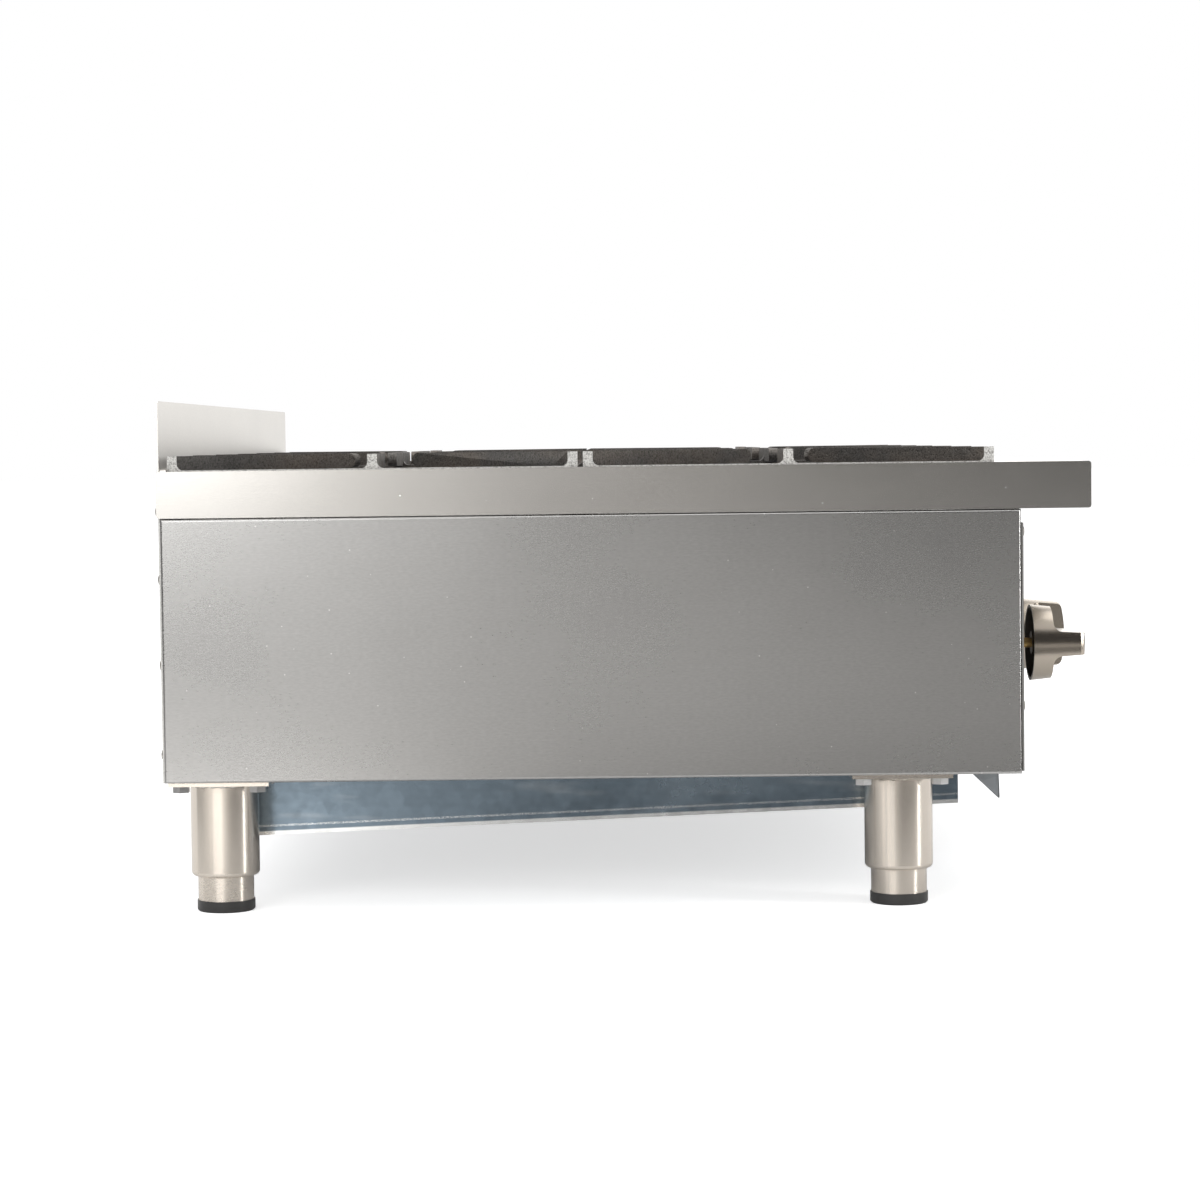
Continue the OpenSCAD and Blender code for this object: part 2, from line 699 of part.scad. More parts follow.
// Leg bolts: a hexagon head under each mounting plate and a nut in the base frame
module leg_bolts() {
    z_plate = z_base - plate_t;
    z_nut = z_frame + frame_t;
    color("dimgray") for (r = [0, 1], side = [-1, 1]) at_leg_bolts(r, side) {
        translate([0, 0, z_plate - bolt_head_h]) cylinder(r = nut_r, h = bolt_head_h, $fn = 6);
        rod_z(0, 0, z_plate - bolt_head_h / 2, z_nut + bolt_head_h + sheet, bolt_r);
        translate([0, 0, z_nut]) cylinder(r = nut_r, h = bolt_head_h, $fn = 6);
    }
}

// One grate finger along +X: post on the frame, arm towards the middle and a rounded nose
module finger(tip, reach) {
    top = z_grate_top - z_grate;
    under = top - finger_h;
    nose = finger_h / 2;
    inner = reach - post_w;
    translate([0, finger_t / 2, z_grate]) rotate([90, 0, 0]) linear_extrude(finger_t) polygon(concat(
        [[reach, 0], [reach, top]],
        arc(tip + nose, top - nose, nose, 90, 270, 8),
        arc(inner - finger_fillet, under - finger_fillet, finger_fillet, 90, 0, 4),
        [[inner, 0]]
    ));
}

// Grates: a square frame with four straight and four diagonal fingers
module grate(r, c) {
    w = grate_w / 2;
    d = grate_d / 2;
    z_ring = z_grate + ring_h;
    corner = norm([w, d]) - post_w * sqrt(2) / 2;
    color("darkslategray") translate([column_x(c), row_y(r), 0]) {
        difference() {
            block([-w, -d, z_grate], [w, d, z_ring]);
            block([-w + ring_w, -d + ring_w, z_grate - cut], [w - ring_w, d - ring_w, z_ring + cut]);
        }
        for (a = [0, 180]) rotate([0, 0, a]) finger(mid_tip, w);
        for (a = [90, 270]) rotate([0, 0, a]) finger(mid_tip, d);
        for (a = [atan2(d, w), 180 - atan2(d, w)], b = [0, 180]) rotate([0, 0, a + b]) finger(diagonal_tip, corner);
        for (x = [-1, 1], y = [-1, 1])
            translate([x * (w - finger_t / 2) - finger_t / 2, y * (d - finger_t / 2) - finger_t / 2, z_grate])
                cube([finger_t, finger_t, z_grate_top - z_grate]);
        for (a = [0, 180]) rotate([0, 0, a]) post_feet(w, d);
        for (a = [90, 270]) rotate([0, 0, a]) post_feet(d, w);
    }
}

// The fillets beside the feet of a finger's post and of the corner posts, on the side of a grate at +X
module post_feet(x, end) {
    for (y = [-finger_t / 2, end - finger_t]) foot_fillet(x, y, -1);
    for (y = [finger_t / 2, finger_t - end]) foot_fillet(x, y, 1);
}

module foot_fillet(x, y, out) {
    r = foot_fillet;
    low = z_grate + ring_h;
    along_x(x - finger_t, x) polygon(concat(
        [[y - out * finger_t / 4, low + r], [y - out * finger_t / 4, low - r], [y + out * r, low - r]],
        arc(y + out * r, low + r, r, 270, 270 - out * 90, 5)
    ));
}

// Burner heads: a port ring with a spigot that drops into the bowl
module burner_head(r, c) {
    inner = bowl_r - cast_t - rest_gap;
    dish = head_h / 4;
    color("black") translate([column_x(c), row_y(r), z_rim]) difference() {
        rotate_extrude() polygon([
            [head_hole_r, 0], [inner - cast_t, 0], [inner - cast_t, -spigot_h], [inner, -spigot_h],
            [inner, 0], [head_r, 0], [head_r, head_h - dish], [head_r - dish, head_h],
            [head_hole_r + 2 * dish, head_h], [head_hole_r, head_h - dish]
        ]);
        for (i = [0:ports - 1]) rotate([0, 0, 360 * i / ports])
            translate([inner - cast_t / 2, -port_w / 2, head_h / 4]) cube([head_r, port_w, port_h]);
    }
}

// Burner bases: a bowl on an inclined throat, and a mixing tube to the valve
module burner_base(r, c) {
    side = burner_side(r);
    inner = tube_r - tube_t;
    y_end = y_mouth + bell_l - row_y(r);
    color("dimgray") translate([column_x(c), row_y(r), 0]) difference() {
        union() {
            translate([0, 0, z_bowl]) cylinder(r = bowl_r, h = bowl_h);
            for (s = [-1, 1])
                translate([-lug_w / 2, s > 0 ? 0 : -lug_reach, z_lug]) cube([lug_w, lug_reach, lug_t]);
            intersection() {
                throat(side, tube_r);
                block([-knob_pair, -bowl_r, z_knob - elbow_r], [knob_pair, bowl_r, z_bowl + cast_t / 2]);
            }
            translate([side * knob_pair / 2, 0, z_knob]) sphere(elbow_r);
            rod_y(side * knob_pair / 2, y_end, 0, z_knob, tube_r);
            translate([side * knob_pair / 2, y_end, z_knob]) rotate([90, 0, 0])
                cylinder(r1 = tube_r, r2 = bell_r, h = bell_l);
        }
        translate([0, 0, z_bowl + cast_t]) cylinder(r = bowl_r - cast_t, h = bowl_h);
        throat(side, inner);
        translate([side * knob_pair / 2, 0, z_knob]) sphere(elbow_r - tube_t);
        rod_y(side * knob_pair / 2, y_end - cut, 0, z_knob, inner);
        translate([side * knob_pair / 2, y_end - hole_fit, z_knob]) rotate([90, 0, 0])
            cylinder(r1 = inner, r2 = bell_r - tube_t / 2, h = bell_l);
    }
}

// The inclined run of a mixing tube, from its elbow up into the bowl
module throat(side, radius) {
    translate([side * knob_pair / 2, 0, z_knob]) rotate([0, -side * tube_tilt, 0])
        cylinder(r = radius, h = tube_run + 2 * tube_r);
}

// Knobs: a tapered round body, hollow at the back, cut away on both sides of its grip
module knob_body() {
    taper = (rim_r - grip_r) / (grip_front - rim_gap);
    floor_z = rim_gap + knob_hollow;
    dome_r = (grip_r * grip_r + knob_dome * knob_dome) / (2 * knob_dome);
    difference() {
        intersection() {
            rotate_extrude() polygon([
                [0, floor_z], [rim_r - knob_hollow * taper - skirt_t, floor_z], [rim_r - skirt_t, rim_gap],
                [rim_r, rim_gap], [grip_r + grip_edge * taper, grip_front - grip_edge],
                [grip_r - grip_edge / 4, grip_front - grip_edge / 4], [grip_r - grip_edge, grip_front + grip_edge / 4],
                [grip_r - 2 * grip_edge, knob_reach + cut], [0, knob_reach + cut]
            ]);
            translate([0, 0, knob_reach - dome_r]) sphere(dome_r);
        }
        for (s = [0, 1]) mirror([s, 0, 0]) grip_cut();
    }
    translate([0, 0, rim_gap + sheet]) cylinder(r = hub_r, h = knob_hollow);
}

// What is cut away beside a grip
module grip_cut() {
    base = grip_base_t / 2;
    tip = grip_t / 2;
    rotate([90, 0, 0]) translate([0, 0, -rim_r]) linear_extrude(2 * rim_r) polygon(concat(
        [[2 * rim_r, skirt_front]],
        arc(base + grip_fillet, skirt_front + grip_fillet, grip_fillet, 270, 180, 6),
        [[tip, grip_front], [tip, 2 * grip_front], [2 * rim_r, 2 * grip_front]]
    ));
}

// A shaft with a flat on one side, or the bore for it
module flatted(radius, z0, z1, flat_z) {
    difference() {
        translate([0, 0, z0]) cylinder(r = radius, h = z1 - z0);
        translate([radius - stem_flat, -radius, flat_z]) cube([2 * radius, 2 * radius, z1 - flat_z + cut]);
    }
}

// Puts a knob or stem on its axis; two front ones stand a quarter turn from the rest
module at_knob(r, c) {
    turn = r == 0 && c < 2 ? 90 : 0;
    translate([knob_x(c, r), y_face, z_knob]) rotate([90, 0, 0]) rotate([0, 0, turn]) children();
}

module knob(r, c) {
    color("tan") at_knob(r, c) difference() {
        knob_body();
        flatted(stem_r + stem_fit, 0, stem_end + hole_fit, 0);
    }
}

module valve_stem(r, c) {
    color("goldenrod") at_knob(r, c) flatted(stem_r, y_face - y_valve, stem_end, flat_start);
}

// Legs: a mounting plate and a tube with a rounded lower end
module leg(r, s) {
    z_plate = z_base - plate_t;
    inner = leg_r - leg_t;
    hole = sleeve_r + rest_gap;
    color("silver") difference() {
        translate([(2 * s - 1) * leg_x, leg_y[r], 0]) {
            translate([-plate_w / 2, -plate_w / 2, z_plate]) cube([plate_w, plate_w, plate_t]);
            rotate_extrude() polygon(concat(
                [[inner, z_plate + plate_t / 2], [leg_r, z_plate + plate_t / 2]],
                arc(leg_r - shoulder_r, shoulder_z + shoulder_r, shoulder_r, 0, -90, 5),
                [[hole, shoulder_z], [hole, shoulder_z + 2 * shoulder_r], [inner, shoulder_z + 2 * shoulder_r]]
            ));
        }
        bolt_holes(z_plate - cut, z_base + cut);
    }
}

// Feet: a closed sleeve that slides in the leg, seated in a cap that stands on the floor
module foot(r, s) {
    color("silver") translate([(2 * s - 1) * leg_x, leg_y[r], 0]) rotate_extrude() polygon([
        [0, cap_floor], [sleeve_r, cap_floor], [sleeve_r, cap_h + sleeve_l],
        [sleeve_r - leg_t, cap_h + sleeve_l], [sleeve_r - leg_t, cap_floor + leg_t], [0, cap_floor + leg_t]
    ]);
}

module foot_cap(r, s) {
    seat = sleeve_r + hole_fit / 2;
    color("black") translate([(2 * s - 1) * leg_x, leg_y[r], 0]) rotate_extrude() polygon([
        [0, 0], [cap_r - sheet, 0], [cap_r, sheet], [cap_r, cap_h], [seat, cap_h], [seat, cap_floor], [0, cap_floor]
    ]);
}

side_panel(-1);  // side_panel_left
side_panel(1);  // side_panel_right
back_panel();
control_panel();
top_frame();
backsplash();
base_frame();
burner_rails();
heat_shield();
manifold();
supply_pipe();
gas_valves();
pilot_lines();
tray_guide(-1);  // tray_guide_left
tray_guide(1);  // tray_guide_right
drip_tray();
panel_screws();
leg_bolts();
for (r = [0, 1], c = [0, 1, 2]) {
    grate(r, c);
    burner_head(r, c);
    burner_base(r, c);
    knob(r, c);
    valve_stem(r, c);
}
for (r = [0, 1], s = [0, 1]) {
    leg(r, s);
    foot(r, s);
    foot_cap(r, s);
}
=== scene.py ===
import math

import bmesh
import bpy
from mathutils import Matrix, Vector


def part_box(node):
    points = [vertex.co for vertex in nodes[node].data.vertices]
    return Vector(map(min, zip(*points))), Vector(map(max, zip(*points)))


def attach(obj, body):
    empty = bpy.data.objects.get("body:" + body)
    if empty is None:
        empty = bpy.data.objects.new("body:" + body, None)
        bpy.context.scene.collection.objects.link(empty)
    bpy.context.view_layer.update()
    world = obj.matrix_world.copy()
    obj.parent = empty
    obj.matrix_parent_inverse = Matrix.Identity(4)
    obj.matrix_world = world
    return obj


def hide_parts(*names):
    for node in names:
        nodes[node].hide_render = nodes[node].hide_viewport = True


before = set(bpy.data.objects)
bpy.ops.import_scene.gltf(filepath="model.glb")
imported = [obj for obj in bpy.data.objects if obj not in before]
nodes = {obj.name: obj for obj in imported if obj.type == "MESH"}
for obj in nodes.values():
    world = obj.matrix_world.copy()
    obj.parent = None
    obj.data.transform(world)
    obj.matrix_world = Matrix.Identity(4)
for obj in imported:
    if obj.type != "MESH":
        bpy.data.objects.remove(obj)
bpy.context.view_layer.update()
scene = bpy.context.scene

PLACES = [row + "_" + column for row in ("front", "rear") for column in ("left", "middle", "right")]
LEGS = [row + "_" + side for row in ("front", "rear") for side in ("left", "right")]

# The tray guides fall from their front ends to their rear ends
guide_low, guide_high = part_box("tray_guide_left")
GUIDE_FALL = 0.020
GUIDE_LENGTH = guide_high.y - guide_low.y


# Materials

# Painted shade for the inside and back of the knobs
HOLLOW_SHADE = (0.05, 0.045, 0.04)
BLOOMED_ZINC = (0.42, 0.48, 0.53)
# Pale zinc for real scratches and rub marks, and for a painted highlight along the guides' bent edge
BURNISHED_ZINC_AND_FOLD_HIGHLIGHT = (0.86, 0.86, 0.85)
# Painted light for the grates' sideways outer faces
PAINTED_LIT_IRON = (0.62, 0.61, 0.585)


class Look:
    """A material whose Principled shader is fed by noise in the object's own coordinates."""

    def __init__(self, name, metallic, roughness):
        self.mat = bpy.data.materials.new(name)
        self.mat.use_nodes = True
        self.tree = self.mat.node_tree
        self.tree.nodes.clear()
        self.out = self.new("ShaderNodeOutputMaterial")
        self.shader = self.new("ShaderNodeBsdfPrincipled")
        self.link(self.shader.outputs["BSDF"], self.out.inputs["Surface"])
        self.shader.inputs["Metallic"].default_value = metallic
        self.shader.inputs["Roughness"].default_value = roughness
        texture = self.new("ShaderNodeTexCoord")
        self.coords = texture.outputs["Object"]
        self.normal = texture.outputs["Normal"]

    def new(self, kind):
        return self.tree.nodes.new(kind)

    def link(self, a, b):
        self.tree.links.new(a, b)

    def feed(self, node, key, value):
        """Link a socket to a node's input, or write a plain value into it."""
        if hasattr(value, "is_linked"):
            self.link(value, node.inputs[key])
        else:
            node.inputs[key].default_value = value

    def mapped(self, scale, turn=(0, 0, 0)):
        """Coordinates with so many features per metre: one number, or one for each of X, Y and Z."""
        node = self.new("ShaderNodeMapping")
        node.inputs["Scale"].default_value = scale if isinstance(scale, tuple) else (scale, scale, scale)
        node.inputs["Rotation"].default_value = turn
        self.link(self.coords, node.inputs["Vector"])
        return node.outputs[0]

    def noise(self, scale, detail=3, rough=0.55, turn=(0, 0, 0)):
        node = self.new("ShaderNodeTexNoise")
        node.inputs["Scale"].default_value = 1
        node.inputs["Detail"].default_value = detail
        node.inputs["Roughness"].default_value = rough
        self.link(self.mapped(scale, turn), node.inputs["Vector"])
        return node.outputs["Fac"]

    def cells(self, scale, output="Distance"):
        node = self.new("ShaderNodeTexVoronoi")
        node.inputs["Scale"].default_value = 1
        self.link(self.mapped(scale), node.inputs["Vector"])
        return node.outputs[output]

    def math(self, kind, a, b=0.0, c=0.0):
        node = self.new("ShaderNodeMath")
        node.operation = kind
        for key, value in enumerate((a, b, c)):
            self.feed(node, key, value)
        return node.outputs[0]

    def chain(self, kind, *values):
        """ADD, MULTIPLY or MAXIMUM over two values or more."""
        result = values[0]
        for value in values[1:]:
            result = self.math(kind, result, value)
        return result

    def span(self, value, low, high, to_low, to_high):
        """low to high turned into to_low to to_high, and held at those beyond."""
        node = self.new("ShaderNodeMapRange")
        self.feed(node, "Value", value)
        for key, v in (("From Min", low), ("From Max", high), ("To Min", to_low), ("To Max", to_high)):
            node.inputs[key].default_value = v
        return node.outputs[0]

    def about(self, value, middle, reach, low=0.3, high=0.7):
        """A noise, which mostly runs from low to high, turned into middle give or take reach."""
        return self.span(value, low, high, middle - reach, middle + reach)

    def blend(self, factor, a, b):
        """a where factor is 0, b where it is 1, each a colour or a socket."""
        node = self.new("ShaderNodeMix")
        node.data_type = "RGBA"
        self.feed(node, 0, factor)
        for key, v in ((6, a), (7, b)):
            self.feed(node, key, v if hasattr(v, "is_linked") else (*v, 1))
        return node.outputs[2]

    def scaled(self, color, factor):
        node = self.new("ShaderNodeVectorMath")
        node.operation = "SCALE"
        self.feed(node, 0, color)
        self.feed(node, 3, factor)
        return node.outputs[0]

    def split(self, vector):
        node = self.new("ShaderNodeSeparateXYZ")
        self.link(vector, node.inputs[0])
        return node.outputs

    def up(self):
        """1 on level faces, 0 on upright ones."""
        return self.math("GREATER_THAN", self.math("ABSOLUTE", self.split(self.normal)[2]), 0.75)

    def pick(self, factor, a, b):
        """a where factor is 0, b where it is 1."""
        return self.math("ADD", self.math("MULTIPLY", a, self.math("SUBTRACT", 1.0, factor)),
                         self.math("MULTIPLY", b, factor))

    def stretch(self, amount):
        """Ground metal's uneven reflections: the tangent is Z on upright faces and X on level ones."""
        level = self.up()
        tangent = self.new("ShaderNodeCombineXYZ")
        self.link(level, tangent.inputs[0])
        self.link(self.math("SUBTRACT", 1.0, level), tangent.inputs[2])
        self.link(tangent.outputs[0], self.shader.inputs["Tangent"])
        self.shader.inputs["Anisotropic"].default_value = amount

    def color(self, value):
        self.link(value, self.shader.inputs["Base Color"])

    def rough(self, value):
        self.link(value, self.shader.inputs["Roughness"])

    def bump(self, height, strength, distance):
        node = self.new("ShaderNodeBump")
        node.inputs["Strength"].default_value = strength
        node.inputs["Distance"].default_value = distance
        self.link(height, node.inputs["Height"])
        self.link(node.outputs[0], self.shader.inputs["Normal"])


def brushed(name, color, roughness, fine=850, long=230, grain=0.05, haze=0.03, specks=0.0, bump=0.04,
            drawn=0.6, hollow=None):
    """Steel ground in one direction: fine lines in wider bands, a faint haze, thin scratches, stray specks.

    fine and long are the lines' features per metre across and along the grinding. grain, haze and specks
    are how much each changes the colour, and drawn is how uneven the reflections are. hollow is the
    X and Z of a knob's axis: the faces that look at it, or at the panel behind, get a dark painted shade."""
    slow, wide = 9, fine / 5
    line_range = (0.25, 0.75)
    scratch_limit, scratch_gain = 0.74, 0.05
    speck_cells, speck_size = 75, 0.045
    hollow_roughness = 0.3
    look = Look(name, 1.0, roughness)
    level = look.up()
    lines = look.pick(level, look.noise((long, long, fine), 4, 0.6), look.noise((long, fine, long), 4, 0.6))
    bands = look.pick(level, look.noise((slow, slow, wide)), look.noise((slow, wide, slow)))
    cloud = look.noise((5, 5, 7), 3, 0.6)
    scratches = look.math("GREATER_THAN", look.noise((slow, slow, fine * 1.3), 1, 0.4), scratch_limit)
    factor = look.chain("ADD", look.about(lines, 1, grain, *line_range), look.about(bands, 0, grain / 10),
                        look.about(cloud, 0, haze))
    factor = look.math("MULTIPLY_ADD", scratches, scratch_gain, factor)
    if specks:
        dots = look.math("LESS_THAN", look.cells(speck_cells), speck_size)
        factor = look.math("MULTIPLY_ADD", dots, specks, factor)
    tone = look.scaled(color, factor)
    rough = look.math("ADD", look.about(lines, roughness, 0.007, *line_range), look.about(cloud, 0, 0.015))
    if hollow:
        at, facing = look.split(look.coords), look.split(look.normal)
        outward_x = look.math("MULTIPLY", look.math("SUBTRACT", at[0], hollow[0]), facing[0])
        outward_z = look.math("MULTIPLY", look.math("SUBTRACT", at[2], hollow[1]), facing[2])
        inward = look.math("LESS_THAN", look.math("ADD", outward_x, outward_z), -0.001)
        hollow_shade_mask = look.math("MAXIMUM", inward, look.math("GREATER_THAN", facing[1], 0.5))
        # Painted shade: the knob's hollow and its back face take a dark colour where shade falls.
        tone = look.blend(hollow_shade_mask, tone, HOLLOW_SHADE)
        rough = look.math("MULTIPLY_ADD", hollow_shade_mask, hollow_roughness, rough)
    look.color(tone)
    look.rough(rough)
    look.stretch(drawn)
    look.bump(lines, bump, distance=0.0002)
    return look.mat


def galvanised(name, color, roughness, edge=None):
    """Zinc-coated sheet: faint spangles, a dull bloom and rolled lines.

    edge is the Y and Z of the front end of a sloping bottom edge, and its fall per metre. A pale band along
    the bend is a painted highlight, with a dotted scratch along it and pale rub marks on the sheet above."""
    fold_highlight_height, fold_highlight_fade = 0.0026, 0.0008
    scratch_height, scratch_half = 0.0072, 0.0008
    look = Look(name, 1.0, roughness)
    spangle = look.noise(160, 1, 0.3)
    plates = look.new("ShaderNodeSeparateColor")
    look.link(look.cells(110, "Color"), plates.inputs[0])
    bloom = look.noise((6, 6, 11), 4, 0.65)
    rolled = look.noise((9, 9, 260), 3, 0.5)
    factor = look.chain("ADD", look.about(plates.outputs[0], 1, 0.06, 0, 1), look.about(bloom, 0, 0.12),
                        look.about(rolled, 0, 0.03))
    tone = look.scaled(look.blend(look.span(bloom, 0.5, 0.8, 0, 0.4), color, BLOOMED_ZINC), factor)
    if edge:
        front, bottom, fall = edge
        at = look.split(look.coords)
        above = look.math("MULTIPLY_ADD", at[1], fall, at[2])
        above = look.math("SUBTRACT", above, bottom + front * fall)
        # Painted highlight: a pale band along the bent bottom edge stands in for the bend's reflection.
        fold_highlight = look.span(above, fold_highlight_height, fold_highlight_height + fold_highlight_fade, 1, 0)
        dots = look.math("GREATER_THAN", look.noise(1400, 2, 0.6), 0.52)
        line = look.math("COMPARE", above, scratch_height, scratch_half)
        marks = look.span(look.noise((60, 14, 90), 2, 0.5, turn=(0.9, 0, 0)), 0.6, 0.8, 0, 1)
        pale = look.math("MAXIMUM", look.math("MULTIPLY", dots, line), look.math("MULTIPLY", marks, 0.2))
        # The pale mix is the painted highlight at the bend together with the real scratch and rub marks.
        wear_and_fold_highlight = look.math("MAXIMUM", look.math("MULTIPLY", fold_highlight, 0.9), look.math("MULTIPLY", pale, 0.8))
        tone = look.blend(wear_and_fold_highlight, tone, BURNISHED_ZINC_AND_FOLD_HIGHLIGHT)
    look.color(tone)
    look.rough(look.math("ADD", look.span(bloom, 0.3, 0.7, roughness - 0.06, roughness + 0.10),
                         look.about(spangle, 0, 0.03)))
    look.bump(look.math("ADD", bloom, spangle), strength=0.06, distance=0.0006)
    return look.mat


def iron(name, color, warm, roughness, metallic=0.75, sand=850, bump=0.55, ground=None):
    """Sand-cast iron: a pitted grainy skin with warm-brown patches. sand is its grains per metre.

    The faces that look sideways beyond X = ground get painted light: a pale speckled grey."""
    look = Look(name, metallic, roughness)
    grit = look.noise(sand, 3, 0.65)
    lumps = look.noise(sand / 6, 4, 0.6)
    patch = look.noise((14, 14, 20), 4, 0.6)
    pits = look.span(look.cells(sand / 2.2), 0.0, 0.42, 0, 1)
    tone = look.blend(look.span(patch, 0.4, 0.68, 0, 1), color, warm)
    tone = look.scaled(tone, look.math("MULTIPLY", look.span(grit, 0.3, 0.7, 0.55, 1.5),
                                       look.span(pits, 0, 1, 0.6, 1.12)))
    if ground:
        # Painted light: the outer sideways faces are made pale and less metallic, as if lit from the side.
        outer = look.math("GREATER_THAN", look.math("ABSOLUTE", look.split(look.coords)[0]), ground)
        sideways = look.math("GREATER_THAN", look.math("ABSOLUTE", look.split(look.normal)[0]), 0.9)
        pale = look.chain("MULTIPLY", outer, sideways, look.span(grit, 0.35, 0.55, 0.35, 1.0))
        tone = look.blend(pale, tone, PAINTED_LIT_IRON)
        look.link(look.span(pale, 0, 1, metallic, 0.1), look.shader.inputs["Metallic"])
    look.color(tone)
    look.rough(look.span(lumps, 0.3, 0.7, roughness - 0.1, roughness + 0.12))
    height = look.chain("ADD", look.math("MULTIPLY", grit, 0.5), lumps, look.math("MULTIPLY", pits, 0.35))
    look.bump(height, bump, distance=0.0009)
    return look.mat


def satin(name, color, metallic, roughness, fine=420, tone=0.05, bump=0.05):
    """A smooth turned, drawn or moulded surface whose colour varies by tone."""
    look = Look(name, metallic, roughness)
    fine_noise = look.noise(fine, 3, 0.6)
    cloud = look.noise(24, 3, 0.6)
    factor = look.math("ADD", look.about(fine_noise, 1, tone), look.about(cloud, 0, tone))
    look.color(look.scaled(color, factor))
    look.rough(look.math("ADD", look.span(cloud, 0.3, 0.7, roughness - 0.04, roughness + 0.06),
                         look.about(fine_noise, 0, 0.03)))
    look.bump(fine_noise, bump, distance=0.0003)
    return look.mat


def knob_steel(place):
    """Each knob has its own steel, since the painted shade of its hollow lies round its own stem."""
    low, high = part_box("valve_stem_" + place)
    axis = (low + high) / 2
    return brushed("knob_steel_" + place, (0.44, 0.39, 0.33), 0.22, fine=1200, long=500, grain=0.06,
                   haze=0.04, drawn=0.4, bump=0.02, hollow=(axis.x, axis.z))


def dress(material, *names):
    """Give CAD nodes one material."""
    for name in names:
        obj = nodes[name]
        if not obj.material_slots:
            obj.data.materials.append(None)
        for slot in obj.material_slots:
            slot.material = material


# Steels, from the bright top frame to the plain fasteners
rail_steel = brushed("rail_steel", (0.63, 0.61, 0.58), 0.24, haze=0.02, specks=0.7, drawn=0.3, bump=0.008)
side_steel = brushed("side_steel", (0.49, 0.484, 0.474), 0.28, grain=0.08, specks=0.5, drawn=0.15, bump=0.004)
face_steel = brushed("face_steel", (0.55, 0.545, 0.53), 0.32, grain=0.10, drawn=0.3)
back_steel = brushed("back_steel", (0.50, 0.495, 0.48), 0.38, grain=0.10, haze=0.05, drawn=0.3)
splash_steel = brushed("splash_steel", (0.60, 0.585, 0.555), 0.30, haze=0.06)
leg_steel = brushed("leg_steel", (0.76, 0.69, 0.61), 0.26, grain=0.03, haze=0.02, drawn=0.85, bump=0.001)
screw_steel = satin("screw_steel", (0.40, 0.38, 0.35), 1.0, 0.30, fine=800)
bolt_steel = satin("bolt_steel", (0.42, 0.415, 0.41), 1.0, 0.34, fine=700, tone=0.08, bump=0.1)
weld_metal = iron("weld_metal", (0.55, 0.53, 0.50), (0.42, 0.36, 0.30), 0.34, metallic=1.0, sand=900,
                  bump=0.5)

# Zinc-coated sheet, bluish on the guides, whose bottom edges slope
guide_edge = (guide_low.y, guide_low.z + GUIDE_FALL, GUIDE_FALL / GUIDE_LENGTH)
zinc = galvanised("zinc", (0.185, 0.235, 0.28), 0.20, edge=guide_edge)
zinc_dull = galvanised("zinc_dull", (0.40, 0.42, 0.44), 0.40)

# Castings: only the faces within half a millimetre or so of the grates' outer sides get painted light
LIT_FACE_DEPTH = 0.0006
grate_side = -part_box("grate_front_left")[0].x
grate_iron = iron("grate_iron", (0.09, 0.085, 0.08), (0.13, 0.112, 0.096), 0.50, bump=0.8,
                  ground=grate_side - LIT_FACE_DEPTH)
head_iron = iron("head_iron", (0.085, 0.082, 0.08), (0.12, 0.09, 0.07), 0.60, sand=1000)
base_iron = iron("base_iron", (0.14, 0.135, 0.13), (0.17, 0.15, 0.135), 0.62, sand=700)

# Gas line and foot caps
pipe_paint = satin("pipe_paint", (0.022, 0.022, 0.023), 0.0, 0.42, fine=600, tone=0.15, bump=0.12)
brass = satin("brass", (0.50, 0.33, 0.13), 1.0, 0.30, fine=500, tone=0.06)
tube_metal = satin("tube_metal", (0.74, 0.74, 0.73), 1.0, 0.32, fine=500)
cap_plastic = satin("cap_plastic", (0.035, 0.034, 0.033), 0.0, 0.34, fine=900, tone=0.1, bump=0.1)

dress(side_steel, "side_panel_left", "side_panel_right")
dress(face_steel, "control_panel")
dress(back_steel, "back_panel")
dress(rail_steel, "top_frame")
dress(splash_steel, "backsplash")
dress(zinc, "tray_guide_left", "tray_guide_right")
dress(zinc_dull, "base_frame", "burner_rails", "heat_shield", "drip_tray")
dress(pipe_paint, "manifold", "supply_pipe")
dress(brass, "gas_valves")
dress(tube_metal, "pilot_lines")
dress(screw_steel, "panel_screws")
dress(bolt_steel, "leg_bolts")
for place in PLACES:
    dress(grate_iron, "grate_" + place)
    dress(head_iron, "burner_head_" + place)
    dress(base_iron, "burner_base_" + place)
    dress(knob_steel(place), "knob_" + place)
    dress(brass, "valve_stem_" + place)
for place in LEGS:
    dress(leg_steel, "leg_" + place, "foot_" + place)
    dress(cap_plastic, "foot_cap_" + place)


# Softened edges

def bevel(obj, width, segments, angle=32):
    """Round the edges that turn by more than the angle, in degrees."""
    modifier = obj.modifiers.new("bevel", "BEVEL")
    modifier.width = width
    modifier.segments = segments
    modifier.limit_method = "ANGLE"
    modifier.angle_limit = math.radians(angle)


def soften(name, width, segments):
    """Round a casting's edges, once points that lie together are joined."""
    obj = nodes[name]
    weld = obj.modifiers.new("weld", "WELD")
    weld.merge_threshold = 0.00002
    bevel(obj, width, segments)


for place in PLACES:
    soften("grate_" + place, width=0.0013, segments=2)
    soften("burner_head_" + place, width=0.0004, segments=1)


# Pieces

def new_object(name, bm, material, smooth=True):
    mesh = bpy.data.meshes.new(name)
    bmesh.ops.recalc_face_normals(bm, faces=bm.faces)
    bm.to_mesh(mesh)
    bm.free()
    for polygon in mesh.polygons:
        polygon.use_smooth = smooth
    mesh.materials.append(material)
    obj = bpy.data.objects.new(name, mesh)
    scene.collection.objects.link(obj)
    return obj


